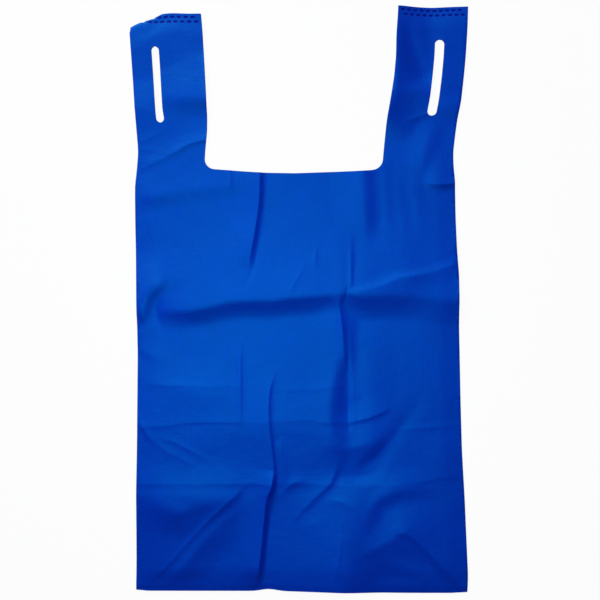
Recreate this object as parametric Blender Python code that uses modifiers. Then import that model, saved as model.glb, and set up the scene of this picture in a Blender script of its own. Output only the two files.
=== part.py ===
"""Non-woven t-shirt bag, empty and lying flat on its back.

One tube of cloth with both sides tucked in, sealed along the bottom and welded shut at the handle tops. Metres.
The handles point along +Y, the front faces +Z, the back rests on z = 0 and the origin is under the bag's middle.
The tube is cut and welded flat, with u across it from its middle and v up it from its bottom, then laid down.
"""

import math
from collections import namedtuple

import bmesh
import bpy
import numpy as np
from mathutils import Matrix, Vector

# The bag as it comes off the machine
BAG_WIDTH = 0.305
BAG_LENGTH = 0.540
GUSSET_DEPTH = 0.100

# The cloth, and the air left between two layers of it
CLOTH = 0.00035
LAYER_GAP = 0.00025
FOLD_STEPS = 4

# Where the front sinks from the tucked-in sides to the back
SINK_START = 0.001
SINK_WIDTH = 0.006

# The neck cut-out, which leaves the two handles
HANDLE_WIDTH = 0.0645
HANDLE_LENGTH = 0.152
NECK_RADIUS = 0.010
NECK_ARC_STEPS = 6

# The hand slots
SLOT_LENGTH = 0.0705
SLOT_WIDTH = 0.0085
SLOT_FROM_EDGE = 0.0235
SLOT_FROM_TOP = 0.030
SLOT_ARC_STEPS = 8

# The two rows of weld dashes across each handle top
DASH_LENGTH = 0.0043
DASH_WIDTH = 0.0021
DASH_PITCH = 0.00585
DASH_MARGIN = 0.0008
ROW_FROM_TOP = 0.00315
ROW_SPACING = 0.0043
DASH_RECESS = 0.00012
BAR_INSET = 0.0004
PINCH = 0.30
PINCH_LENGTH = 0.014

# The sealed bottom edge
SEAL_HEIGHT = 0.0016
SEAL_BEAD = 0.0003

# The outer corner of the left handle, turned under: its legs along the top and down the side
EAR_ALONG_TOP = 0.033
EAR_DOWN_SIDE = 0.016
EAR_RADIUS = 0.0003
EAR_STEPS = 6
EAR_CLEAR = 0.013
EAR_SLOPE = 0.032

# Facets: the largest cell that bends as one
CELL = 0.030
CUT_PAST = 0.010
MERGE = 0.00001

COLOUR = (0.001, 0.055, 0.450, 1.0)
ROUGHNESS = 0.7

LAYER = CLOTH + LAYER_GAP
STACK = 3 * LAYER + CLOTH
HALF_WIDTH = BAG_WIDTH / 2
TUCK = HALF_WIDTH - GUSSET_DEPTH
NECK_HALF = HALF_WIDTH - HANDLE_WIDTH
NECK_BOTTOM = BAG_LENGTH - HANDLE_LENGTH

# How far each long edge lies from its place on the flat bag, from the bottom (0) past the neck (1) to the
# handle tops (2): the outer left edge, the left handle's inner edge, the right one's, and the outer right edge
Drift = namedtuple("Drift", "at outer_left inner_left inner_right outer_right")
DRIFTS = (
    Drift(0.00, 0.0022, 0.0025, 0.0032, 0.0034),
    Drift(0.22, 0.0040, 0.0030, 0.0008, 0.0006),
    Drift(0.70, 0.0040, 0.0028, -0.0042, -0.0050),
    Drift(0.94, 0.0013, 0.0008, -0.0085, -0.0087),
    Drift(1.12, 0.0038, 0.0012, -0.0092, -0.0098),
    Drift(1.40, 0.0013, 0.0027, -0.0044, -0.0048),
    Drift(1.70, -0.0016, 0.0004, 0.0014, 0.0005),
    Drift(2.00, -0.0052, -0.0028, 0.0045, 0.0038),
)

# The left handle's root is bunched up, which shortens that handle
BUNCH = 0.0075
BUNCH_FROM = 0.005
BUNCH_OVER = 0.045

# Creases left by how the bag was folded for storage: points as (across, up, rise), as shares of the width from
# the middle and of the length from the bottom, with the rise in metres, and how far the slope reaches each side
Crease = namedtuple("Crease", "points reach")
HALF_FOLD = Crease(
    ((-0.44, 0.475, 0), (-0.30, 0.492, 0.0045), (0.147, 0.509, 0.0050), (0.40, 0.547, 0.0045), (0.49, 0.560, 0.001)),
    0.022,
)
QUARTER_FOLD = Crease(((-0.49, 0.284, 0.001), (0.05, 0.285, 0.0018), (0.30, 0.290, 0)), 0.014)
END_FOLD = Crease(((-0.49, 0.187, 0.001), (0.20, 0.187, 0.0018), (0.46, 0.190, 0.001)), 0.014)
UPPER_PLEAT = Crease(((-0.110, 0.710, 0.0015), (-0.140, 0.560, 0.0028)), 0.012)
LOWER_PLEAT = Crease(((-0.068, 0.380, 0), (-0.080, 0.260, 0.0040), (-0.120, 0.004, 0.0020)), 0.012)
CREASES = (HALF_FOLD, QUARTER_FOLD, END_FOLD, UPPER_PLEAT, LOWER_PLEAT)


def clear_scene():
    for old in list(bpy.context.scene.objects):
        bpy.data.objects.remove(old, do_unlink=True)


def new_collection(name):
    collection = bpy.data.collections.new(name)
    bpy.context.scene.collection.children.link(collection)
    return collection


def cloth_material():
    material = bpy.data.materials.new("blue_nonwoven")
    material.use_nodes = True
    shader = material.node_tree.nodes["Principled BSDF"]
    shader.inputs["Base Color"].default_value = COLOUR
    shader.inputs["Roughness"].default_value = ROUGHNESS
    shader.inputs["Metallic"].default_value = 0.0
    material.diffuse_color = COLOUR
    return material


def as_object(bm, name, collection):
    mesh = bpy.data.meshes.new(name)
    bm.to_mesh(mesh)
    bm.free()
    made = bpy.data.objects.new(name, mesh)
    collection.objects.link(made)
    return made


def arc(centre, radius, start, turn, steps):
    """Points round an arc, ends included. Angles in degrees."""
    angles = [math.radians(start + turn * step / steps) for step in range(steps + 1)]
    return [(centre[0] + radius * math.cos(a), centre[1] + radius * math.sin(a)) for a in angles]


def tube_section():
    """The middle line of the cloth in a cut across the bag, as (x, z): the back, each tucked-in side, the front."""
    radius = LAYER / 2
    outer = HALF_WIDTH - CLOTH / 2 - radius
    inner = TUCK + CLOTH / 2 + radius
    lowest = CLOTH / 2
    right = arc((outer, lowest + 0.5 * LAYER), radius, -90, 180, FOLD_STEPS)
    right += arc((inner, lowest + 1.5 * LAYER), radius, -90, -180, FOLD_STEPS)
    right += arc((outer, lowest + 2.5 * LAYER), radius, -90, 180, FOLD_STEPS)
    right.append((TUCK - SINK_START, lowest + 3 * LAYER))
    right.append((TUCK - SINK_START - SINK_WIDTH, lowest + LAYER))
    return right + [(-x, z) for x, z in reversed(right)]


def cloth_tube(name, collection):
    """The whole tube, uncut: its section drawn out to the bag's length, with half the cloth on each side of it."""
    bm = bmesh.new()
    around = [bm.verts.new((x, 0, z)) for x, z in tube_section()]
    for i in range(len(around)):
        bm.edges.new((around[i - 1], around[i]))
    tube = as_object(bm, name, collection)
    drawn_out = tube.modifiers.new("bag length", "SCREW")
    drawn_out.axis = "Y"
    drawn_out.angle = 0
    drawn_out.screw_offset = BAG_LENGTH
    drawn_out.steps = 1
    drawn_out.render_steps = 1
    thicken = tube.modifiers.new("cloth thickness", "SOLIDIFY")
    thicken.thickness = CLOTH
    thicken.offset = 0
    thicken.use_even_offset = True
    return tube


def solid_from_outlines(name, outlines, low, high, collection, place=None):
    """Closed outlines in the XY plane, filled from z = low to z = high and moved by the matrix place."""
    curve = bpy.data.curves.new(name, "CURVE")
    curve.dimensions = "2D"
    curve.fill_mode = "BOTH"
    curve.extrude = (high - low) / 2
    for outline in outlines:
        spline = curve.splines.new("POLY")
        spline.points.add(len(outline) - 1)
        spline.use_cyclic_u = True
        for point, (x, y) in zip(spline.points, outline):
            point.co = (x, y, 0, 1)
    drawn = bpy.data.objects.new(name, curve)
    bpy.context.scene.collection.objects.link(drawn)
    mesh = bpy.data.meshes.new_from_object(drawn.evaluated_get(bpy.context.evaluated_depsgraph_get()))
    bpy.data.objects.remove(drawn)
    bm = bmesh.new()
    bm.from_mesh(mesh)
    bpy.data.meshes.remove(mesh)
    bmesh.ops.remove_doubles(bm, verts=bm.verts, dist=MERGE)
    bmesh.ops.translate(bm, verts=bm.verts, vec=(0, 0, (low + high) / 2))
    if place:
        bmesh.ops.transform(bm, matrix=place, verts=bm.verts)
    bmesh.ops.recalc_face_normals(bm, faces=bm.faces)
    made = as_object(bm, name, collection)
    made.hide_render = True
    made.display_type = "WIRE"
    return made


def neck_outline():
    """The opening between the handles: open at the top, with round corners at its foot."""
    reach = NECK_HALF - NECK_RADIUS
    foot = NECK_BOTTOM + NECK_RADIUS
    above = BAG_LENGTH + CUT_PAST
    left = arc((-reach, foot), NECK_RADIUS, 180, 90, NECK_ARC_STEPS)
    right = arc((reach, foot), NECK_RADIUS, 270, 90, NECK_ARC_STEPS)
    return [(-NECK_HALF, above)] + left + right + [(NECK_HALF, above)]


def slot_outline(side):
    """A hand slot with round ends. side is -1 for the left handle and 1 for the right one."""
    x = side * (HALF_WIDTH - SLOT_FROM_EDGE)
    radius = SLOT_WIDTH / 2
    top = BAG_LENGTH - SLOT_FROM_TOP - radius
    foot = BAG_LENGTH - SLOT_FROM_TOP - SLOT_LENGTH + radius
    return arc((x, top), radius, 0, 180, SLOT_ARC_STEPS) + arc((x, foot), radius, 180, 180, SLOT_ARC_STEPS)


def dash_centres():
    """The middle of each weld dash: two rows a half pitch apart, across both handles."""
    room = HANDLE_WIDTH - 2 * DASH_MARGIN - DASH_LENGTH - DASH_PITCH / 2
    count = int(room / DASH_PITCH) + 1
    for side in (-1, 1):
        for row in (0, 1):
            middle = side * (HALF_WIDTH - HANDLE_WIDTH / 2) + (row - 0.5) * DASH_PITCH / 2
            for number in range(count):
                u = middle + (number - (count - 1) / 2) * DASH_PITCH
                yield u, BAG_LENGTH - ROW_FROM_TOP - row * ROW_SPACING


def dash_outline(centre):
    """A short bar with its corners cut off."""
    length = DASH_LENGTH / 2
    width = DASH_WIDTH / 2
    corner = DASH_WIDTH / 4
    quarter = [(length, width - corner), (length - corner, width)]
    half = quarter + [(-x, y) for x, y in reversed(quarter)]
    whole = half + [(-x, -y) for x, y in half]
    return [(centre[0] + x, centre[1] + y) for x, y in whole]


def fused_row_outlines():
    """The strip that each row of dashes fuses through all the layers, from a handle's cut edge to its folds."""
    outlines = []
    for side in (-1, 1):
        cut_edge = side * (NECK_HALF + BAR_INSET)
        folds = side * (HALF_WIDTH - CLOTH / 2 - LAYER / 2)
        for row in (0, 1):
            middle = BAG_LENGTH - ROW_FROM_TOP - row * ROW_SPACING
            low = middle - DASH_WIDTH / 2
            high = middle + DASH_WIDTH / 2
            outlines.append([(cut_edge, low), (folds, low), (folds, high), (cut_edge, high)])
    return outlines


def seal_outline():
    """The fused strip along the bottom, seen along the bag: between the middle lines of the back and the front."""
    low = CLOTH / 2
    high = low + 3 * LAYER
    side = HALF_WIDTH - CLOTH / 2 - LAYER / 2
    right = [(side, low), (side, high), (TUCK - SINK_START, high), (TUCK - SINK_START - SINK_WIDTH, low + LAYER)]
    return right + [(-x, z) for x, z in reversed(right)]


def apply_booleans(target, steps):
    """Cuts and joins the flat tube, then keeps the result as its mesh."""
    for operation, tool in steps:
        modifier = target.modifiers.new(tool.name, "BOOLEAN")
        modifier.operation = operation
        modifier.solver = "EXACT"
        modifier.object = tool
    evaluated = target.evaluated_get(bpy.context.evaluated_depsgraph_get())
    mesh = bpy.data.meshes.new_from_object(evaluated)
    target.modifiers.clear()
    target.data = mesh


def cut_and_weld(tube, cutters):
    below = -CUT_PAST
    above = STACK + CUT_PAST
    inner = CLOTH / 2
    outer = STACK - CLOTH / 2
    dashes = [dash_outline(centre) for centre in dash_centres()]
    neck = solid_from_outlines("neck_cutter", [neck_outline()], below, above, cutters)
    slots = solid_from_outlines("slot_cutters", [slot_outline(-1), slot_outline(1)], below, above, cutters)
    rows = solid_from_outlines("fused_rows", fused_row_outlines(), inner, outer, cutters)
    front_dashes = solid_from_outlines("front_dash_cutters", dashes, STACK - DASH_RECESS, above, cutters)
    back_dashes = solid_from_outlines("back_dash_cutters", dashes, below, DASH_RECESS, cutters)
    upright = Matrix.Rotation(math.radians(90), 4, "X")
    seal = solid_from_outlines("bottom_seal", [seal_outline()], -SEAL_HEIGHT, SEAL_BEAD, cutters, upright)
    apply_booleans(
        tube,
        (
            ("UNION", seal),
            ("UNION", rows),
            ("DIFFERENCE", front_dashes),
            ("DIFFERENCE", back_dashes),
            ("DIFFERENCE", neck),
            ("DIFFERENCE", slots),
        ),
    )


def slice_faces(bm, faces, point, normal):
    """Splits the faces along a plane, so that the cloth can bend there."""
    edges = list(dict.fromkeys(edge for face in faces for edge in face.edges))
    verts = list(dict.fromkeys(vert for edge in edges for vert in edge.verts))
    bmesh.ops.bisect_plane(bm, geom=faces + edges + verts, plane_co=point, plane_no=normal, dist=MERGE)


def split_welded_tops(bm):
    """A line at the foot of the pinched handle tops. The pierced faces above it are split into triangles."""
    foot = BAG_LENGTH - PINCH_LENGTH
    dash_corners = len(dash_outline((0, 0)))
    slice_faces(bm, bm.faces[:], (0, foot, 0), (0, 1, 0))
    pierced = []
    for face in bm.faces:
        if len(face.verts) > dash_corners and face.calc_center_median().y > foot:
            pierced.append(face)
    bmesh.ops.triangulate(bm, faces=pierced)


def slice_into_cells(bm):
    """A coarse grid over the whole bag."""
    columns = np.linspace(-HALF_WIDTH, HALF_WIDTH, round(BAG_WIDTH / CELL) + 1)[1:-1]
    rows = np.linspace(0, BAG_LENGTH, round(BAG_LENGTH / CELL) + 1)[1:-1]
    for u in columns:
        slice_faces(bm, bm.faces[:], (u, 0, 0), (1, 0, 0))
    for v in rows:
        slice_faces(bm, bm.faces[:], (0, v, 0), (0, 1, 0))


def crease_path(crease):
    """The crease's points in metres, as an array of (u, v), and its rise at each."""
    points = np.array(crease.points)
    return points[:, :2] * (BAG_WIDTH, BAG_LENGTH), points[:, 2]


def slice_along_crease(bm, crease):
    """Lines along the crest and the two feet of a crease, over the faces that each stretch of it crosses."""
    path, _ = crease_path(crease)
    for start, end in zip(path, path[1:]):
        length = np.linalg.norm(end - start)
        along = (end - start) / length
        across = Vector((-along[1], along[0], 0))
        for offset in (-crease.reach, 0, crease.reach):
            near = []
            for face in bm.faces:
                away = np.array(face.calc_center_median()[:2]) - start
                beside = abs(away @ across[:2]) < crease.reach + CELL
                if beside and -CELL / 2 < away @ along < length + CELL / 2:
                    near.append(face)
            slice_faces(bm, near, Vector((*start, 0)) + offset * across, across)


def crease_rise(crease, u, v):
    """How high the front stands at each point: a straight slope up to the crest on both sides."""
    path, rises = crease_path(crease)
    best = np.full(len(u), np.inf)
    height = np.zeros(len(u))
    for i, (start, end) in enumerate(zip(path, path[1:])):
        step = end - start
        share = np.clip(((u - start[0]) * step[0] + (v - start[1]) * step[1]) / (step @ step), 0, 1)
        away = np.hypot(u - start[0] - share * step[0], v - start[1] - share * step[1])
        nearer = away < best
        best[nearer] = away[nearer]
        height[nearer] = (rises[i] + share * (rises[i + 1] - rises[i]))[nearer]
    return height * np.clip(1 - best / crease.reach, 0, 1)


def layer_share(u, z):
    """How much of a rise each layer follows: none at the back, all of it at the front, evenly between."""
    floors = np.arange(4) * LAYER
    heights = np.column_stack((floors, floors + CLOTH)).ravel()
    tucked = np.interp(z, heights, np.repeat(np.arange(4) / 3, 2))
    two_deep = np.interp(z, (CLOTH, LAYER), (0, 1))
    return np.where(np.abs(u) < TUCK - SINK_START / 2, two_deep, tucked)


def edge_drift(u, v):
    """How far to the right each point lies from its place on the flat bag."""
    at = np.where(v < NECK_BOTTOM, v / NECK_BOTTOM, 1 + (v - NECK_BOTTOM) / HANDLE_LENGTH)
    table = np.array(DRIFTS)
    outer_left, inner_left, inner_right, outer_right = (np.interp(at, table[:, 0], c) for c in table[:, 1:].T)
    left = inner_left + (outer_left - inner_left) * (-u - NECK_HALF) / HANDLE_WIDTH
    right = inner_right + (outer_right - inner_right) * (u - NECK_HALF) / HANDLE_WIDTH
    middle = inner_left + (inner_right - inner_left) * (u + NECK_HALF) / (2 * NECK_HALF)
    return np.where(u < -NECK_HALF, left, np.where(u > NECK_HALF, right, middle))


def lay_down(points):
    """The flat bag's points moved to where they lie: edges drifted, creases raised, handle tops pinched."""
    u, v, z = points.T
    x = u + edge_drift(u, v)
    bunched = BUNCH * np.clip((v - NECK_BOTTOM - BUNCH_FROM) / BUNCH_OVER, 0, 1)
    y = v - np.where(u < 0, bunched, 0) - BAG_LENGTH / 2
    rise = np.max([crease_rise(crease, u, v) for crease in CREASES], axis=0)
    pinch = PINCH * np.clip((v - BAG_LENGTH + PINCH_LENGTH) / (PINCH_LENGTH - ROW_FROM_TOP), 0, 1)
    return np.column_stack((x, y, z * (1 - pinch) + rise * layer_share(u, z)))


class CornerFold:
    """The left handle's outer corner, turned under along a straight line."""

    def __init__(self):
        u = np.array([-HALF_WIDTH, -HALF_WIDTH])
        v = np.array([BAG_LENGTH, BAG_LENGTH - EAR_DOWN_SIDE])
        corner, side = lay_down(np.column_stack((u, v, np.zeros(2))))[:, :2]
        top = corner + np.array((EAR_ALONG_TOP, 0))
        along = (top - side) / np.linalg.norm(top - side)
        self.start = top
        self.out = np.array((-along[1], along[0]))
        self.middle_radius = EAR_RADIUS + STACK / 2
        self.arc_length = math.pi * self.middle_radius

    def distance(self, points):
        """How far each point lies past the fold line, towards the corner."""
        return (points[:, :2] - self.start) @ self.out

    def slice(self, bm):
        """Lines across the bend and down the slope behind it, on the left handle only."""
        bend = np.linspace(0, self.arc_length, EAR_STEPS + 1)
        slope = (-EAR_CLEAR, -EAR_CLEAR - EAR_SLOPE / 2, -EAR_CLEAR - EAR_SLOPE)
        for offset in (*bend, *slope):
            here = []
            for face in bm.faces:
                centre = face.calc_center_median()
                if centre.x < -NECK_HALF / 2 and centre.y > NECK_BOTTOM - BAG_LENGTH / 2:
                    here.append(face)
            point = self.start + self.out * offset
            slice_faces(bm, here, (*point, 0), (*self.out, 0))

    def turn_under(self, points):
        """Lifts the handle over the flap, rolls the bend and lays the flap beneath it."""
        past = self.distance(points)
        on_handle = (points[:, 0] < -NECK_HALF / 2) & (points[:, 1] > NECK_BOTTOM - BAG_LENGTH / 2)
        turn = np.clip(past, 0, self.arc_length) / self.middle_radius
        radius = EAR_RADIUS + points[:, 2]
        beyond = np.clip(past - self.arc_length, 0, None)
        axis_height = STACK + EAR_RADIUS
        rolled_out = radius * np.sin(turn) - beyond
        rolled_up = axis_height + radius * np.cos(turn)
        lift = (axis_height + EAR_RADIUS) * np.interp(-past, (EAR_CLEAR, EAR_CLEAR + EAR_SLOPE), (1, 0))
        moved = points.copy()
        moved[:, 2] = np.where(past > 0, rolled_up, points[:, 2] + lift)
        moved[:, :2] += np.where(past > 0, rolled_out - past, 0)[:, None] * self.out
        return np.where(on_handle[:, None], moved, points)


def move_points(bm, move):
    points = np.array([vert.co[:] for vert in bm.verts])
    for vert, place in zip(bm.verts, move(points)):
        vert.co = place


def centred(points):
    """The bag's box centred over the origin, with its lowest point at z = 0."""
    low = points.min(axis=0)
    high = points.max(axis=0)
    return points - ((low[0] + high[0]) / 2, (low[1] + high[1]) / 2, low[2])


def lay_bag_down(bag):
    """Slices the flat bag where it bends, and moves its points to where they lie."""
    bm = bmesh.new()
    bm.from_mesh(bag.data)
    bmesh.ops.remove_doubles(bm, verts=bm.verts, dist=MERGE)
    split_welded_tops(bm)
    slice_into_cells(bm)
    for crease in CREASES:
        slice_along_crease(bm, crease)
    move_points(bm, lay_down)
    corner = CornerFold()
    corner.slice(bm)
    move_points(bm, corner.turn_under)
    move_points(bm, centred)
    bmesh.ops.triangulate(bm, faces=bm.faces)
    bmesh.ops.recalc_face_normals(bm, faces=bm.faces)
    bm.to_mesh(bag.data)
    bm.free()


def build():
    clear_scene()
    parts = new_collection("nonwoven_tshirt_bag")
    cutters = new_collection("cutters")
    bag = cloth_tube("tshirt_bag", parts)
    cut_and_weld(bag, cutters)
    lay_bag_down(bag)
    bag.data.materials.clear()
    bag.data.materials.append(cloth_material())
    bag.data.shade_smooth()
    bag.data.set_sharp_from_angle(angle=math.radians(40))


build()
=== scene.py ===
"""Looks of the non-woven t-shirt bag, in the same frame as its solid model.

The cloth's cut pattern is meshed flat, folded into the bag's four layers, laid down as in the photograph and
given its thickness. Metres, unless a comment says otherwise. On the pattern, s runs round the bag from the
middle of its back and v up from its bottom. On the folded bag, u runs across from its middle.
"""

import math
from collections import namedtuple

import bmesh
import bpy
import numpy as np
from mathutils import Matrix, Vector
from mathutils.geometry import delaunay_2d_cdt
from mathutils.kdtree import KDTree


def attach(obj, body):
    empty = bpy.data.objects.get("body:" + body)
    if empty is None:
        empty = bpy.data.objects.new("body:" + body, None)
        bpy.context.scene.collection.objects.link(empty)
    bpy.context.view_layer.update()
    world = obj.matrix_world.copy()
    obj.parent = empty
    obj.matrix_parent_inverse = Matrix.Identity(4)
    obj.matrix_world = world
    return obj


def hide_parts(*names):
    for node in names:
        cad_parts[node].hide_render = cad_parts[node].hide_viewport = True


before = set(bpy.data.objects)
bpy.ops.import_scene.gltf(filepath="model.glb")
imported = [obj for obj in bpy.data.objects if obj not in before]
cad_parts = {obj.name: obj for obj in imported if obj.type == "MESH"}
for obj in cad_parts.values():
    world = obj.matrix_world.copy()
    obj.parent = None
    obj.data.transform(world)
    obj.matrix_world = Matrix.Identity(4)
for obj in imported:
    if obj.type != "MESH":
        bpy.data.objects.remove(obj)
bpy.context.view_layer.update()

# The bag's own sizes
BAG_WIDTH = 0.305
BAG_LENGTH = 0.540
GUSSET_DEPTH = 0.100
CLOTH = 0.00035
LAYER_GAP = 0.00025
HANDLE_WIDTH = 0.0645
HANDLE_LENGTH = 0.152
NECK_RADIUS = 0.010
SLOT_LENGTH = 0.0705
SLOT_WIDTH = 0.0085
SLOT_FROM_EDGE = 0.0235
SLOT_FROM_TOP = 0.030

# The two rows of weld dashes across each handle top. FUSED of the cloth's thickness is left in them, PINCH of
# the layers' spacing goes, and from FILM_DEPTH of a dash's full depth the cloth is a film.
DASH_LENGTH = 0.0043
DASH_WIDTH = 0.0025
DASH_PITCH = 0.00585
DASHES_IN_A_ROW = 10
DASH_REACH = DASH_LENGTH / 2 - DASH_WIDTH / 2
DASH_WALL = 0.0003
ROW_FROM_TOP = 0.00315
ROW_SPACING = 0.0043
FUSED = 0.35
PINCH = 0.35
PINCH_LENGTH = 0.014
FILM_DEPTH = 0.9

# The sealed bottom edge, and the parts of the layers' spacing and the cloth's thickness that go there
SEAL_HEIGHT = 0.0016
SEAL_TOP = 1.6 * SEAL_HEIGHT
SEAL_PINCH_TOP = 3 * SEAL_HEIGHT
SEAL_PINCH = 0.40
SEAL_THINNING = 0.45

# The left handle's outer corner, turned under: where its fold line runs, how tight it bends and how far the
# line sways. The handle stays up over the flap for CORNER_CLEAR and comes down over CORNER_SLOPE.
CORNER_ALONG_TOP = 0.033
CORNER_DOWN_SIDE = 0.016
CORNER_RADIUS = 0.0003
CORNER_SWAY = 0.0008
CORNER_SWAY_OVER = 0.010
CORNER_CLEAR = 0.013
CORNER_SLOPE = 0.032

LAYER = CLOTH + LAYER_GAP
STACK = 3 * LAYER + CLOTH
FRONT_LAYER = 3
HALF_WIDTH = BAG_WIDTH / 2
TUCK = HALF_WIDTH - GUSSET_DEPTH
NECK_HALF = HALF_WIDTH - HANDLE_WIDTH
NECK_BOTTOM = BAG_LENGTH - HANDLE_LENGTH
MM = 0.001

# The photograph: its size in pixels, a pixel's size, and the pixel over the origin
PICTURE = 600
PIXEL = 0.000925
ORIGIN_PIXEL = (298.5, 299.0)

# The bag's upright edges in the photograph, as (row, column) pixels from top to bottom
OUTER_LEFT = (
    (8, 127.5), (28, 129.3), (50, 131), (75, 132.6), (100, 134.2), (130, 136.4), (152, 138.2), (170, 136.8),
    (186, 135), (220, 135.2), (260, 136), (310, 137), (350, 138), (430, 138), (490, 137), (560, 136.6),
    (592, 136),
)
INNER_LEFT = (
    (14, 200.8), (30, 202.4), (60, 204.2), (90, 205.8), (118, 207.2), (132, 207), (150, 205.2), (172, 204),
)
INNER_RIGHT = (
    (6, 398), (36, 396.4), (56, 396), (76, 394.2), (96, 391), (120, 386.8), (150, 383.8), (172, 382),
)
OUTER_RIGHT = (
    (6, 468.3), (28, 467.6), (56, 465.9), (80, 463.6), (100, 461.3), (118, 457.6), (134, 455.4),
    (152, 453.2), (166, 453.4), (182, 455), (215, 455.6), (250, 457), (275, 458.8), (330, 459.2),
    (400, 460.6), (450, 462), (500, 464.8), (550, 467), (575, 468), (592, 467.4),
)

# Its level edges, as (column, row) pixels from left to right
NECK_EDGE = (
    (200, 168.6), (212, 169.2), (232, 170.6), (261, 172.7), (300, 173.4), (330, 172.4), (362, 171.5),
    (377, 170.8), (385, 170),
)
LEFT_TOP = ((125, 14.6), (160, 14.2), (201, 14))
RIGHT_TOP = ((398, 6.6), (412, 7.5), (428, 7.8), (446, 6.9), (468, 6.2))
BOTTOM_EDGE = (
    (136, 589.8), (145, 590.9), (222, 590.9), (250, 591), (256, 590.4), (263, 589), (270, 589.4), (281, 591),
    (330, 591.6), (390, 592.8), (447, 593.1), (467, 591.6),
)

# How an edge is read, in pixels: how far it is drawn on past its ends, and the rounding of its corners
EDGE_OVERRUN = 20
COLUMN_ROUNDING = 7
ROW_ROUNDING = 4

# How far up and down the bag the level edges move the cloth beside them
NECK_FADE = 0.050
TOP_FADE = 0.040
BOTTOM_FADE = 0.020

# The left handle's root is bunched up, and the handles widen to the body between these rows
BUNCH_FROM = 0.005
BUNCH_OVER = 0.045
BODY_ROWS = (168, 235)

# Both slots stand a little to the left, and the cloth inside the left one is squeezed, both in pixels
SLOT_ROWS = (14, 40, 110, 140)
SLOT_SHIFT = 1.4
LEFT_SLOT_SQUEEZE = 1.8
SQUEEZE_RISE = 0.006
SQUEEZE_FALL = 0.02

# A crease or soft ridge. Its rise is in millimetres, below 0 in a valley. left and right are how many pixels
# its slopes reach, to the left and the right of someone walking its path, and crest is the radius of its
# top, also in pixels. The path is (column, row) pixels, from left to right or from bottom to top, with the
# share of the rise there where it isn't 1.
Fold = namedtuple("Fold", "rise left right crest path")


def folds(**named):
    """The folds, from the values given under their names."""
    return [Fold(*values) for values in named.values()]


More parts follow.
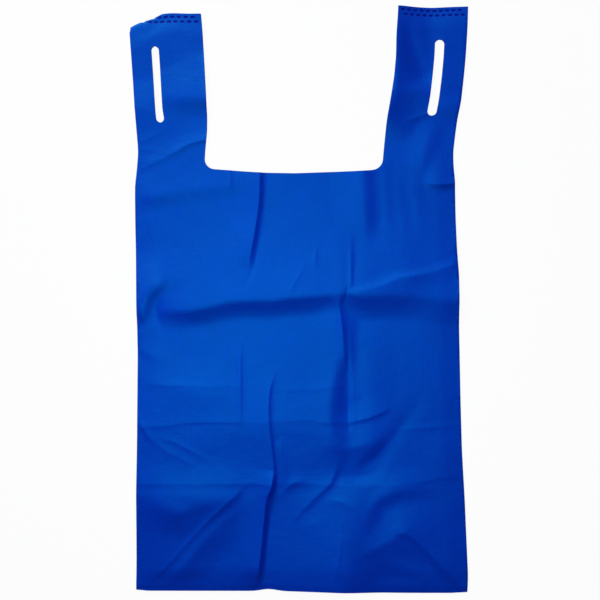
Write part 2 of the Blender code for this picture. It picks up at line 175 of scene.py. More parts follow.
# Folds through every layer
BROAD_FOLDS = folds(
    half_fold_left=(8.5, 89, 22, 1.6, (
        (154, 314, 0), (161, 312.5, 0.35), (170.5, 311, 0.65), (186, 310, 0.9), (201.5, 307.5), (216.5, 304),
        (231.5, 301), (250.5, 299.5), (270.5, 299.5), (290.5, 297), (320.5, 294.5), (342.5, 292.5, 0.9),
        (354.5, 292, 0.5), (368, 291, 0))),
    half_fold_belly=(8.2, 77, 24, 3, (
        (328, 296, 0), (347, 294, 0.6), (360, 294.5), (380, 294), (400, 293.5, 0.9), (420, 295, 0.7),
        (440, 298, 0.7), (460, 300, 0.8))),
    left_arc=(7.2, 42, 16, 1.8, (
        (146.5, 323, 0.4), (142.5, 312), (145, 300), (152.5, 289.5), (161.5, 283.5, 0.9),
        (171.5, 280, 0.3))),
    left_arc_foot=(2.8, 9, 9, 1.5, ((140, 344, 0.4), (142, 334), (150, 325, 0.4))),
    left_tail=(2.5, 18, 12, 2, ((137.5, 347, 0.6), (149.5, 354), (162.5, 362, 0.7), (172.5, 369, 0))),
    low_left=(7.4, 140, 112, 8, (
        (120, 424, 0.9), (160, 424), (200, 424), (240, 425), (290, 427, 0.9), (330, 430, 0.5),
        (352, 432, 0))),
    left_triangle=(1.1, 26, 14, 2, ((186, 424, 0.3), (173, 405), (160, 386, 0.6))),
    upper_left=(2.2, 29, 12, 2, (
        (140, 199.5, 0.5), (152, 196.5), (180, 193), (200, 189), (229, 186.5, 0.8))),
    right_pinch=(2.9, 48, 6.5, 0.8, ((424, 183, 0.2), (436, 184, 0.9), (446, 184), (456, 183))),
    right_root=(1.6, 19, 13, 3, ((425, 176, 0), (423, 160), (429, 140, 0.9), (433, 124, 0.2))),
    right_edge_patch=(2.5, 16, 16, 3, ((438, 104, 0.5), (448, 106), (458, 107))),
    right_band=(3.5, 32, 15, 4, ((365.5, 250, 0), (364.5, 225, 0.8), (363.5, 200), (362.5, 168))),
    right_handle=(8, 8, 34, 1.5, (
        (386.5, 115, 0.9), (391.5, 96), (395.5, 74), (396.5, 49), (397, 21, 0.9), (397, -12, 0.8))),
    right_slot_foot=(4.5, 20, 26, 3, ((387, 92, 0.7), (403, 92), (423, 93, 0.9), (437, 97, 0.3))),
    left_slot_foot=(4.6, 78, 17, 3.5, ((158, 100, 0.2), (172, 99, 0.6), (189, 99), (208, 98.5, 1.1))),
    left_root=(2.6, 32, 24, 5, ((134, 108), (150, 110, 0.8), (166, 114, 0.3))),
    right_tuck_ridge=(4.9, 35, 19, 3, (
        (331, 442, 0.7), (330, 410), (334, 380, 0.8), (340, 350, 0.7), (340, 325, 0.8), (338, 303, 0.6))),
    right_middle=(1.6, 28, 26, 4, ((371, 440, 0.5), (371, 410, 0.8), (369, 380, 0.8), (367, 345, 0.5))),
    nose_shade=(1.1, 10, 19, 3, ((160, 438.5, 0.3), (185, 442.5), (215, 442.5), (240, 440.5, 0.5))),
    bottom_dome=(6.4, 70, 36, 11, (
        (344, 596, 1.3), (345, 562, 1.15), (349, 532), (353, 507, 0.9), (355, 487, 0.5), (356, 476, 0))),
    dome_top=(2.2, 18, 70, 4, ((296, 526, 0.5), (316, 524), (338, 520, 0.6))),
    right_arch=(3.33, 22, 16, 3, (
        (364.5, 533.5, 0.6), (367.5, 514.5), (376.5, 500.5), (390.5, 492.5), (408.5, 489.5, 0.6),
        (430.5, 487.5, 0.2))),
    right_saddle=(4.7, 50, 43, 2, ((357.5, 558, 0.4), (371.5, 549), (386.5, 542), (401.5, 533, 0.9))),
    right_flap=(2.9, 33, 9, 1.2, (
        (399.5, 531.5, 0.9), (411.5, 535.5), (429.5, 552.5), (444.5, 568.5, 0.9), (462.5, 587.5, 0.6))),
    right_hollow=(1.3, 12, 16, 2, ((376, 565.5, 0.4), (392, 562.5), (408, 567.5), (424, 575.5, 0.5))),
    bottom_right=(0.78, 11.5, 20, 2, ((372, 585, 0.5), (395, 583), (420, 585, 0.8))),
    end_slope_left=(8.5, 185, 88, 5, (
        (126.5, 492.5), (160.5, 492.5), (195, 493, 0.9), (225, 494, 0.6), (255, 494.5, 0.25),
        (285, 494.5, 0))),
    left_bottom=(0.8, 29, 22, 5, ((226, 592, 0.7), (228, 565), (232, 540, 0.8), (240, 515, 0.3))),
    bottom_left_edge=(0.6, 14, 27, 5, ((150, 570, 0.3), (180, 568, 0.7), (210, 566), (250, 562))),
)

# Creases in the front alone
FINE_FOLDS = folds(
    left_slope=(2.6, 30, 32, 6, ((158.5, 386, 0.4), (185.5, 389), (210.5, 391, 0.9), (236.5, 387, 0.3))),
    half_fold_right=(1.4, 8, 15, 1.2, (
        (347, 294, 0), (358, 291.5, 0.7), (380, 286.5), (400, 278), (430, 272.5, 0.9), (458, 264, 0.8))),
    right_band_two=(0.94, 9, 12, 2.5, ((389, 248, 0), (386, 215, 0.8), (384, 190), (383, 168, 0.9))),
    v_patch=(3, 44, 22, 1.5, ((345, 448, 0.7), (356, 446.5), (368, 444), (384, 439, 0.4))),
    streak_one=(0.4, 6, 9, 2, ((404, 246, 0), (401, 215, 0.9), (398, 185), (398, 168, 0.6))),
    streak_two=(0.4, 6, 9, 2, ((424, 240, 0), (419, 215), (414, 190, 0.9), (412, 170, 0))),
    upper_pleat=(3.5, 25, 5.5, 0.8, (
        (248.5, 270, 0), (249.5, 258, 0.6), (253, 240), (257, 215), (259, 195), (259.5, 168))),
    upper_pleat_tail=(-0.39, 4, 5, 0.8, ((245, 290, 0), (250, 276), (256, 262, 0.8), (262, 240, 0))),
    lower_pleat=(4.2, 26, 4.6, 0.8, (
        (255.5, 596), (257, 580), (260.5, 552), (263.5, 522), (266, 500), (271.5, 485, 0.8),
        (273.5, 470, 0))),
    lower_pleat_top=(2.1, 24, 3.6, 0.7, (
        (266, 500, 0), (271.5, 484, 0.9), (273.5, 468), (271.5, 448, 0.9), (269, 425, 0.8),
        (268.5, 405, 0.75), (270, 388, 0.6), (275.5, 370, 0))),
    pleat_right=(-0.59, 3, 10, 0.8, (
        (264, 594), (267, 560), (271, 520), (276, 492, 0.9), (280, 470, 0.6), (276, 440, 0.3))),
    pleat_twin=(0.96, 8, 5, 0.8, ((285.5, 478, 0.4), (284, 466), (281, 452), (279, 438, 0))),
    left_tuck=(0.9, 7, 3.5, 0.7, (
        (240.5, 420, 0.5), (240.5, 400), (240.5, 365), (241, 345, 0.5), (241.5, 336, 0))),
    left_tuck_twin=(0.35, 5, 3.5, 0.7, ((228, 362, 0.9), (227.5, 345, 0.7), (227, 330, 0))),
    left_tuck_top=(0.45, 5, 3, 0.6, ((231, 193, 0.5), (230.5, 186), (230, 171, 0.9))),
    right_tuck=(1.2, 7, 4.5, 0.8, (
        (344.5, 372, 0), (344, 352, 0.8), (342, 330), (339.5, 312), (338, 300, 0.9))),
    right_tuck_valley=(-1.8, 19, 5, 1, (
        (347.5, 434, 0), (348, 420, 0.6), (348, 400, 0.9), (348, 378, 0.9), (347.5, 352, 0))),
    right_tuck_line=(0.5, 4, 4, 0.8, (
        (352.5, 430, 0.7), (352, 400), (351.5, 372, 0.9), (350.5, 345, 0.7), (349.5, 325, 0))),
    right_tuck_top=(0.51, 3.5, 3, 0.6, ((350.5, 285), (350.5, 262), (349.5, 236, 0))),
    thin_crease_a=(0.4, 4, 3, 0.7, ((313, 274, 0), (315.5, 258), (316, 241, 0))),
    thin_crease_b=(0.51, 4, 3.5, 0.7, ((289.5, 293, 0.3), (295, 282), (304, 267, 0.2))),
    handle_step=(-1.2, 16, 9, 1.5, (
        (427, 88, 0.3), (423, 76, 0.8), (418.5, 64), (411, 44), (406, 24, 0.7))),
    handle_crease=(1.4, 12, 4, 0.8, (
        (138, 170, 0.2), (150, 165, 0.5), (165, 157.5, 0.6), (178, 151, 0.9), (190, 144),
        (208, 139.5, 1.1))),
    handle_crease_low=(0.55, 9, 4, 0.8, ((138, 143, 0.9), (150, 138, 0.8), (163, 131, 0.4))),
    handle_crease_short=(0.35, 6, 3, 0.7, ((136, 149, 0.8), (150, 150, 0.8), (162, 151, 0))),
    slot_crease=(1, 20, 4, 0.8, ((403, 122, 0), (415, 118, 0.9), (432, 112))),
    slot_valley=(-0.11, 12, 4, 1, ((389, 122, 0.8), (400, 118), (415, 114), (430, 109, 0.8))),
    half_fold_kink=(-0.58, 3, 3, 0.6, ((344.5, 303, 0.4), (346, 294), (347.5, 286, 0))),
    under_ridge_spot=(0.8, 5, 8, 1.5, ((400, 277, 0.3), (412, 277), (428, 275, 0.3))),
    quarter_fold_left=(0.38, 10, 4, 0.7, (
        (140, 426, 0.6), (150, 425.5), (170, 424.5), (195, 421.5, 0.9), (240, 421.5, 0.7),
        (272, 421.5, 0.6))),
    quarter_fold_middle=(0.42, 9, 4, 0.7, (
        (280, 421, 0.4), (310, 419.5, 0.8), (325, 422), (348, 421.5, 0.7))),
    quarter_fold_right=(1.1, 19, 4, 0.8, (
        (348, 422.5, 0.6), (358, 420), (370, 417), (382, 412, 0.8), (392, 407.5, 0))),
    quarter_ridge=(0.28, 4, 4, 0.8, (
        (385, 430.5, 0.2), (415, 428.5), (440, 426.5, 0.9), (462, 424.5, 0.6))),
    middle_line=(0.34, 10, 4, 0.8, ((278, 389.5, 0.5), (310, 389), (340, 386.5, 0.7))),
    left_line=(0.41, 6, 4, 0.8, ((150, 383.5, 0.6), (180, 385), (236, 385.5, 0.6))),
    end_fold=(0.55, 17, 5, 0.7, (
        (128, 482.5, 0.7), (180, 482.5, 0.8), (246, 482.5), (280, 483.5, 0.5), (345, 484.5, 0.4),
        (362, 485.5, 0.6), (400, 484.5, 0.6), (430, 479.5, 0.7), (468, 475, 0.5))),
    end_light=(0.35, 14, 9, 0.8, ((284, 481, 0.5), (296, 482), (312, 482), (322, 482, 0.3))),
    nose=(0.63, 7, 5, 0.8, (
        (138, 420, 0.3), (145, 428), (150, 436, 0.7), (162, 446, 0.6), (178, 456, 0.5), (198, 466, 0))),
    nose_line=(0.39, 6, 5, 0.8, ((155, 436, 0.3), (175, 441), (200, 454, 0.8), (215, 462, 0))),
    diagonal_dark=(3.6, 45, 25, 3, (
        (150, 500, 0.3), (165, 505, 0.9), (180, 510), (195, 504, 0.8), (225, 498, 0.5))),
    diagonal_long=(1.7, 44, 7, 0.8, (
        (142, 590, 0.9), (164, 568), (187, 542), (204, 524), (221, 507, 1.1), (235, 495, 0.8),
        (247, 482, 0.3))),
    diagonal_short=(2.8, 14, 26, 1.5, (
        (166, 588, 0.8), (186, 562, 1.1), (202, 541, 1.1), (219, 524, 0.8), (241, 506, 0.2))),
    diagonal_middle=(1.2, 19, 5.5, 0.8, (
        (291, 522, 0.2), (303, 509, 0.7), (318, 494), (330, 482.5, 1.2), (337, 467, 0.6))),
    diagonal_small=(0.69, 6, 5, 0.8, ((281.5, 494, 0.3), (290.5, 484), (302.5, 480, 0.4))),
    kink_middle=(0.8, 5, 8, 1, ((331, 499.5, 0.2), (340, 500), (350, 505.5, 0.6))),
    diagonal_bright=(-1.8, 12, 13, 1.5, (
        (356, 480, 0.5), (369, 468), (386, 447), (400, 428, 0.6), (418, 401, 0.2))),
    bottom_line=(0.45, 5, 4, 0.8, ((334.5, 584, 0.6), (338, 560), (340.5, 540), (339.5, 514, 0))),
    neck_curl_left=(0.8, 5, 3, 0.8, ((208, 126, 0.2), (207.5, 100), (205.5, 66, 0.8), (204, 45, 0))),
)

# How much of a fold each layer follows, from back to front, and all of them where they are welded or sealed
LAYER_SHARES = (0.22, 0.42, 0.62, 1.0)
SEALED_SHARE = 0.92
SEALED_OVER = 0.022
WELDED_BELOW_TOP = 0.0205
WELDED_OVER = 0.012

# How far the front stands off the rest, the part of that in the handles, and how it fades to the sides
FRONT_AIR = 1.1 * MM
HANDLE_AIR = 0.6
HANDLE_AIR_OVER = 0.04
AIR_EDGE = 0.020

# How fine creases end at the sides, and how much of the space under them they may take and how softly
FINE_EDGE = 0.004
DROP_SHARE = 0.75
SOFT_STOP = 0.15 * MM

# Folds rise faster towards their crests, and die out beside the turned corner
SLOPE_POWER = 1.5
CALM_FROM = 0.004
CALM_OVER = 0.015

# The unevenness of soft cloth: wavelength and height in millimetres, and each wave's range of stretch
RIPPLES = ((70, 0.34), (34, 0.18), (17, 0.08), (10, 0.035))
RIPPLE_WAVES = 7
WAVE_STRETCH = (0.75, 1.4)
RIPPLE_SEED = 11

# Mesh spacing on the front, the layers under it, the outlines and the turned corner, and steps round turns
FRONT_STEP = 0.0031
UNDER_STEP = 0.0058
EDGE_STEP = 0.0030
BOTTOM_STEP = 1.5 * EDGE_STEP
CORNER_STEP = 0.0028
CORNER_OVERRUN = 0.02
CORNER_TURN_STEPS = 8
OUTER_TURN_STEPS = 4
INNER_TURN_STEPS = 2
NECK_TURN_STEPS = 8
SLOT_TURN_STEPS = 12
DASH_TURN_STEPS = 4

# Steps along a fold's path and rows of points beside a sharp crease, in pixels
PATH_STEP = 5.0
CREASE_STEP = 2.6
SHARP_CREST = 1.3
ROW_OFFSETS = (0, 0.45, 1.0, 1.8, 3.0, 5.0)

# How close points may come: to each other, as lengths or as a part of the spacing, and to a panel's ends
CREASE_CLEARANCE = 0.33 * MM
SPREAD_CLEARANCE = 0.55
PANEL_MARGIN = 0.6 * MM
SAME_POINT = 1e-7
TINY = 1e-9

# The tube is closed where its open ends meet: how near an end a point lies, and how near two are joined
END_MARGIN = 1e-6
JOIN_DISTANCE = 0.02 * MM

# A point this far inside the neck or a slot is still cloth, as their round stretches are drawn as chords
NECK_MARGIN = 0.02 * MM
SLOT_MARGIN = 0.08 * MM


def arc(centre, radius, start, turn, steps):
    """Points round an arc, ends included. Angles in degrees."""
    angles = [math.radians(start + turn * step / steps) for step in range(steps + 1)]
    return [(centre[0] + radius * math.cos(a), centre[1] + radius * math.sin(a)) for a in angles]


class Section:
    """The middle line of the cloth in a cut across the bag, and the places along it."""

    def __init__(self):
        radius = LAYER / 2
        outer = HALF_WIDTH - CLOTH / 2 - radius
        inner = TUCK + CLOTH / 2 + radius
        right = [(0, 0)]
        right += arc((outer, 0.5 * LAYER), radius, -90, 180, OUTER_TURN_STEPS)
        right += arc((inner, 1.5 * LAYER), radius, -90, -180, INNER_TURN_STEPS)
        right += arc((outer, 2.5 * LAYER), radius, -90, 180, OUTER_TURN_STEPS)
        knots = np.array(right + [(-u, height) for u, height in reversed(right)])
        self.u = knots[:, 0]
        self.layer = knots[:, 1] / LAYER
        self.s = np.concatenate(([0], np.cumsum(np.hypot(*np.diff(knots, axis=0).T))))
        self.length = self.s[-1]
        self.front = self.length / 2
        inner_turn = 1 + OUTER_TURN_STEPS + 1
        turned = self.s[inner_turn] + math.pi * radius / 2
        self.tucks = (turned, self.length - turned)
        self.tuck_reach = math.pi * radius / 2 + NECK_HALF - inner

    def fold_up(self, s):
        """Where the cloth lies across the bag, and in which layer."""
        return np.interp(s, self.s, self.u), np.interp(s, self.s, self.layer)

    def panels(self):
        """The flat runs between the folds: (layer, u where it starts, s where it starts, u where it ends)."""
        for i in range(len(self.s) - 1):
            if math.isclose(self.layer[i], self.layer[i + 1], abs_tol=0.01):
                yield round(self.layer[i]), self.u[i], self.s[i], self.u[i + 1]

    def bends(self):
        """The columns where the cloth bends round a fold, with how far up each goes."""
        for s, u in zip(self.s[1:-1], self.u[1:-1]):
            yield s, (BAG_LENGTH if abs(u) > NECK_HALF else NECK_BOTTOM)

    def necks(self):
        """The neck cut-out in each layer, as its middle and half its width on the pattern."""
        yield 0.0, NECK_HALF
        yield self.tucks[0], self.tuck_reach
        yield self.front, NECK_HALF
        yield self.tucks[1], self.tuck_reach
        yield self.length, NECK_HALF


SECTION = Section()


def along(points, step):
    """Points about a step apart on a line through several points."""
    line = [points[0]]
    for start, end in zip(points, points[1:]):
        count = max(1, round(math.dist(start, end) / step))
        line += [tuple(np.array(start) + (np.array(end) - start) * i / count) for i in range(1, count + 1)]
    return line


def neck_line(middle, half):
    """One layer's neck cut-out on the pattern, from handle top to handle top."""
    foot = NECK_BOTTOM + NECK_RADIUS
    left = arc((middle - half + NECK_RADIUS, foot), NECK_RADIUS, 180, 90, NECK_TURN_STEPS)
    right = arc((middle + half - NECK_RADIUS, foot), NECK_RADIUS, 270, 90, NECK_TURN_STEPS)
    return [(middle - half, BAG_LENGTH)] + left + right + [(middle + half, BAG_LENGTH)]


def slot_ends():
    """For each hand slot, its u and the v of the middles of its two round ends."""
    radius = SLOT_WIDTH / 2
    top = BAG_LENGTH - SLOT_FROM_TOP - radius
    foot = BAG_LENGTH - SLOT_FROM_TOP - SLOT_LENGTH + radius
    return [(side * (HALF_WIDTH - SLOT_FROM_EDGE), foot, top) for side in (-1, 1)]


def slot_line(u, foot, top):
    """The edge of a hand slot, all the way round."""
    radius = SLOT_WIDTH / 2
    ring = arc((u, top), radius, 0, 180, SLOT_TURN_STEPS) + arc((u, foot), radius, 180, 180, SLOT_TURN_STEPS)
    return along(ring + ring[:1], EDGE_STEP)


def dash_centres():
    """The middle of every weld dash. The two rows are half a pitch apart."""
    for side in (-1, 1):
        for row in (0, 1):
            middle = side * (HALF_WIDTH - HANDLE_WIDTH / 2) + (row - 0.5) * DASH_PITCH / 2
            for number in range(DASHES_IN_A_ROW):
                u = middle + (number - (DASHES_IN_A_ROW - 1) / 2) * DASH_PITCH
                yield u, BAG_LENGTH - ROW_FROM_TOP - row * ROW_SPACING


def dash_line(centre, inset):
    """A short bar with round ends, drawn inset from its true edge."""
    radius = DASH_WIDTH / 2 - inset
    u, v = centre
    ring = arc((u + DASH_REACH, v), radius, -90, 180, DASH_TURN_STEPS)
    ring += arc((u - DASH_REACH, v), radius, 90, 180, DASH_TURN_STEPS)
    return ring + ring[:1]


def dash_depth(u, v):
    """1 inside a weld dash, 0 outside, with a short wall between."""
    depth = np.zeros(len(u))
    near = np.flatnonzero(v > BAG_LENGTH - ROW_FROM_TOP - ROW_SPACING - DASH_WIDTH)
    for centre in dash_centres():
        across = np.maximum(np.abs(u[near] - centre[0]) - DASH_REACH, 0)
        away = np.hypot(across, v[near] - centre[1])
        inside = np.clip((DASH_WIDTH / 2 - away) / DASH_WALL, 0, 1)
        depth[near] = np.maximum(depth[near], inside)
    return depth


def cut_away(s, v):
    """Whether each point is in the neck, in a hand slot or outside the sheet."""
    gone = (s < 0) | (s > SECTION.length) | (v < 0) | (v > BAG_LENGTH)
    for middle, half in SECTION.necks():
        into_corner = np.clip(np.abs(s - middle) - half + NECK_RADIUS, 0, NECK_RADIUS)
        floor = NECK_BOTTOM + NECK_RADIUS - np.sqrt(NECK_RADIUS**2 - into_corner**2)
        gone |= (np.abs(s - middle) < half) & (v > floor + NECK_MARGIN)
    u, _ = SECTION.fold_up(s)
    for middle, foot, top in slot_ends():
        gone |= np.hypot(u - middle, v - np.clip(v, foot, top)) < SLOT_WIDTH / 2 - SLOT_MARGIN
    return gone


def on_panel(panel, points):
    """The (u, v) points that lie on a panel, moved to the pattern."""
    _, u_start, s_start, u_end = panel
    points = np.array(points)
    way = math.copysign(1, u_end - u_start)
    return np.column_stack((s_start + (points[:, 0] - u_start) * way, points[:, 1]))


def within(panel, points, margin=0.0):
    """Whether each (u, v) point lies between a panel's two ends."""
    _, u_start, _, u_end = panel
    u = np.array(points)[:, 0]
    return (u > min(u_start, u_end) + margin) & (u < max(u_start, u_end) - margin)


class CornerFold:
    """The left handle's outer corner, turned under along a line across the flat handle."""

    def __init__(self):
        self.start = np.array((CORNER_ALONG_TOP - HALF_WIDTH, BAG_LENGTH))
        self.end = np.array((-HALF_WIDTH, BAG_LENGTH - CORNER_DOWN_SIDE))
        self.line_length = np.linalg.norm(self.start - self.end)
        self.along = (self.start - self.end) / self.line_length
        self.out = np.array((-self.along[1], self.along[0]))
        self.middle_radius = CORNER_RADIUS + STACK / 2
        self.arc_length = math.pi * self.middle_radius

    def distance(self, u, v):
        """How far each point lies past the fold line, towards the corner."""
        return (u - self.start[0]) * self.out[0] + (v - self.start[1]) * self.out[1]

    def rows(self):
        """Lines across the bend, from the handle's side to its top."""
        for step in range(CORNER_TURN_STEPS + 1):
            offset = self.out * self.arc_length * step / CORNER_TURN_STEPS
            side = self.end + offset - self.along * CORNER_OVERRUN
            yield along([tuple(side), tuple(self.start + offset)], CORNER_STEP)

    def turn_under(self, u, v, z):
        """Lifts the handle over the flap, rolls the bend and lays the flap beneath it."""
        past = self.distance(u, v)
        on_handle = (u < -NECK_HALF) & (v > NECK_BOTTOM)
        turn = np.clip(past, 0, self.arc_length) / self.middle_radius
        radius = CORNER_RADIUS + z
        beyond = np.clip(past - self.arc_length, 0, None)
        axis_height = STACK + CORNER_RADIUS
        rolled_out = radius * np.sin(turn) - beyond
        rolled_up = axis_height + radius * np.cos(turn)
        carried = np.interp(-past, (CORNER_CLEAR, CORNER_CLEAR + CORNER_SLOPE), (1, 0))
        lifted = z + (axis_height + CORNER_RADIUS) * carried
        share = ((u - self.end[0]) * self.along[0] + (v - self.end[1]) * self.along[1]) / self.line_length
        near_line = np.clip(1 + np.minimum(past, 0) / CORNER_SWAY_OVER, 0, 1)
        sway = CORNER_SWAY * np.sin(2 * math.pi * share) * near_line
        shift = np.where(past > 0, rolled_out - past, 0) + sway
        moved_u = np.where(on_handle, u + shift * self.out[0], u)
        moved_v = np.where(on_handle, v + shift * self.out[1], v)
        return moved_u, moved_v, np.where(on_handle, np.where(past > 0, rolled_up, lifted), z)


CORNER = CornerFold()


def smooth_step(t):
    """0 up to t = 0, 1 from t = 1, and a soft rise between."""
    t = np.clip(t, 0, 1)
    return t * t * (3 - 2 * t)


def smooth_line(edge, at, reach):
    """An edge read at each place along it, with its corners rounded over some pixels each side."""
    places, values = np.array(edge, float).T
    fine = np.arange(places[0] - EDGE_OVERRUN, places[-1] + EDGE_OVERRUN, 1.0)
    window = np.hanning(2 * reach + 3)[1:-1]
    padded = np.pad(np.interp(fine, places, values), reach, mode="edge")
    return np.interp(at, fine, np.convolve(padded, window / window.sum(), mode="valid"))


def edge_column(edge, row):
    return smooth_line(edge, row, COLUMN_ROUNDING)


def edge_row(edge, column):
    return smooth_line(edge, column, ROW_ROUNDING)


def flat_row(v):
    """The row of a height on the bag before any edge has moved."""
    return ORIGIN_PIXEL[1] - (v - BAG_LENGTH / 2) / PIXEL


def fade(v, at, over):
    """1 at a height on the bag, falling to 0 over a distance each side."""
    return smooth_step(1 - np.abs(v - at) / over)


def pull(edge, level, v, at, over):
    """How many rows a level edge moves the cloth beside it."""
    return (edge_row(edge, level) - flat_row(at)) * fade(v, at, over)


def photo_row(u, v):
    """The row of a point of the folded bag, moved with the level edges near it."""
    level = ORIGIN_PIXEL[0] + u / PIXEL
    top_row = LEFT_TOP[-1][1]
    left = (top_row - flat_row(BAG_LENGTH)) * np.clip((v - NECK_BOTTOM - BUNCH_FROM) / BUNCH_OVER, 0, 1)
    left = left + (edge_row(LEFT_TOP, level) - top_row) * fade(v, BAG_LENGTH, TOP_FADE)
    right = pull(RIGHT_TOP, level, v, BAG_LENGTH, TOP_FADE)
    row = flat_row(v) + np.where(u < -NECK_HALF / 2, left, np.where(u > NECK_HALF / 2, right, 0))
    row = row + pull(NECK_EDGE, level, v, NECK_BOTTOM, NECK_FADE)
    return row + pull(BOTTOM_EDGE, level, v, 0, BOTTOM_FADE)


def place(u, v):
    """Where a point of the folded bag lies in the photograph, as (column, row) pixels."""
    row = photo_row(u, v)
    outer_left = edge_column(OUTER_LEFT, row)
    outer_right = edge_column(OUTER_RIGHT, row)
    body = smooth_step((row - BODY_ROWS[0]) / (BODY_ROWS[1] - BODY_ROWS[0]))
    handle = (outer_right - outer_left) * HANDLE_WIDTH / BAG_WIDTH
    inner_left = edge_column(INNER_LEFT, row) * (1 - body) + (outer_left + handle) * body
    inner_right = edge_column(INNER_RIGHT, row) * (1 - body) + (outer_right - handle) * body
    beside_slot = np.interp(row, SLOT_ROWS, (0, 1, 1, 0))
    off_middle = np.clip(np.abs(np.abs(u) - HALF_WIDTH + HANDLE_WIDTH / 2) / (HANDLE_WIDTH / 2), 0, 1)
    shift = SLOT_SHIFT * (1 - off_middle**2) * beside_slot
    from_slot = u + HALF_WIDTH - SLOT_FROM_EDGE
    squeeze = LEFT_SLOT_SQUEEZE * smooth_step(from_slot / SQUEEZE_RISE + 0.5)
    squeeze = squeeze * smooth_step((-NECK_HALF - u) / SQUEEZE_FALL) * beside_slot
    left = inner_left + (outer_left - inner_left) * (-u - NECK_HALF) / HANDLE_WIDTH - shift - squeeze
    right = inner_right + (outer_right - inner_right) * (u - NECK_HALF) / HANDLE_WIDTH - shift
    centre = inner_left + (inner_right - inner_left) * (u + NECK_HALF) / (2 * NECK_HALF)
    return np.where(u < -NECK_HALF, left, np.where(u > NECK_HALF, right, centre)), row


def back_to_flat(column, row, corrections=6):
    """The (u, v) that place() puts at each pixel, found by correcting a first guess."""
    u = (column - ORIGIN_PIXEL[0]) * PIXEL
    v = (ORIGIN_PIXEL[1] - row) * PIXEL + BAG_LENGTH / 2
    for _ in range(corrections):
        there_column, there_row = place(u, v)
        u = u + (column - there_column) * PIXEL
        v = v - (row - there_row) * PIXEL
    return u, v


def smooth_path(fold, step):
    """A fold's path as (column, row, share) points about a step apart, on a curve through the given ones."""
    given = np.array([(*point, 1)[:3] for point in fold.path], float)
    ends = np.vstack((2 * given[0] - given[1], given, 2 * given[-1] - given[-2]))
    line = []
    for a, b, c, d in zip(ends, ends[1:], ends[2:], ends[3:]):
        count = max(1, round(math.dist(b[:2], c[:2]) / step))
        for t in np.arange(count) / count:
            line.append(b + 0.5 * t * (c - a + t * (2 * a - 5 * b + 4 * c - d + t * (3 * (b - c) + d - a))))
    line.append(given[-1])
    line = np.array(line)
    line[:, 2] = np.clip(line[:, 2], 0, None)
    return line


def fold_heights(fold, column, row):
    """How much a fold lifts each point, in metres."""
    line = smooth_path(fold, PATH_STEP)
    furthest = max(fold.left, fold.right)
    low = line[:, :2].min(axis=0) - furthest
    high = line[:, :2].max(axis=0) + furthest
    near = np.flatnonzero((column > low[0]) & (column < high[0]) & (row > low[1]) & (row < high[1]))
    x, y = column[near], -row[near]
    best = np.full(len(near), np.inf)
    share = np.zeros(len(near))
    side = np.zeros(len(near))
    for start, end in zip(line, line[1:]):
        step = (end[:2] - start[:2]) * (1, -1)
        dx, dy = x - start[0], y + start[1]
        t = np.clip((dx * step[0] + dy * step[1]) / (step @ step), 0, 1)
        away = np.hypot(dx - t * step[0], dy - t * step[1])
        sine = (step[0] * dy - step[1] * dx) / np.maximum(away * math.hypot(*step), TINY)
        nearer = away < best
        best[nearer] = away[nearer]
        share[nearer] = (start[2] + t * (end[2] - start[2]))[nearer]
        side[nearer] = sine[nearer]
    rounded = np.sqrt(best**2 + fold.crest**2) - fold.crest
    reach = fold.right + (fold.left - fold.right) * (1 + side) / 2
    slope = np.clip(1 - rounded / reach, 0, 1)
    heights = np.zeros(len(column))
    heights[near] = fold.rise * MM * share * slope**SLOPE_POWER
    return heights


def ripple_heights(column, row):
    """Soft unevenness, never below 0."""
    rng = np.random.default_rng(RIPPLE_SEED)
    x = (column - ORIGIN_PIXEL[0]) * PIXEL / MM
    y = -(row - ORIGIN_PIXEL[1]) * PIXEL / MM
    heights = np.zeros(len(column))
    for wavelength, height in RIPPLES:
        waves = np.zeros(len(column))
        for _ in range(RIPPLE_WAVES):
            angle, phase = rng.uniform(0, 2 * math.pi, 2)
            stretch = rng.uniform(*WAVE_STRETCH)
            k = 2 * math.pi / wavelength * stretch
            waves += np.sin(k * (x * math.cos(angle) + y * math.sin(angle)) + phase)
        heights += height * (1 + waves / (RIPPLE_WAVES / 2)) / 2
    return np.clip(heights, 0, None) * MM


def broad_heights(column, row):
    """The broad folds, joined as the root of their squares, and the ripples."""
    broad = np.zeros(len(column))
    for fold in BROAD_FOLDS:
        lift = fold_heights(fold, column, row)
        broad = np.where(lift > 0, np.sqrt(broad**2 + lift**2), broad)
    return broad + ripple_heights(column, row)


def calm_near_corner(u, v):
    """1 over most of the bag, and 0 where folds would fight the turned corner."""
    calm = smooth_step((-CORNER.distance(u, v) - CALM_FROM) / CALM_OVER)
    return np.where((u < -NECK_HALF) & (v > NECK_BOTTOM), calm, 1)


def front_air(u, v):
    """How far the front stands off the rest: less in the handles and nothing at the sides."""
    air = FRONT_AIR * smooth_step((HALF_WIDTH - np.abs(u)) / AIR_EDGE)
    return air * (1 - (1 - HANDLE_AIR) * smooth_step((v - NECK_BOTTOM) / HANDLE_AIR_OVER))


def pinched(v):
    """The part of the layers' spacing that goes at the handle tops and the sealed bottom."""
    top = PINCH * smooth_step((v - BAG_LENGTH + PINCH_LENGTH) / (PINCH_LENGTH - ROW_FROM_TOP))
    bottom = SEAL_PINCH * smooth_step((SEAL_PINCH_TOP - v) / (SEAL_PINCH_TOP - SEAL_HEIGHT))
    return np.maximum(top, bottom)


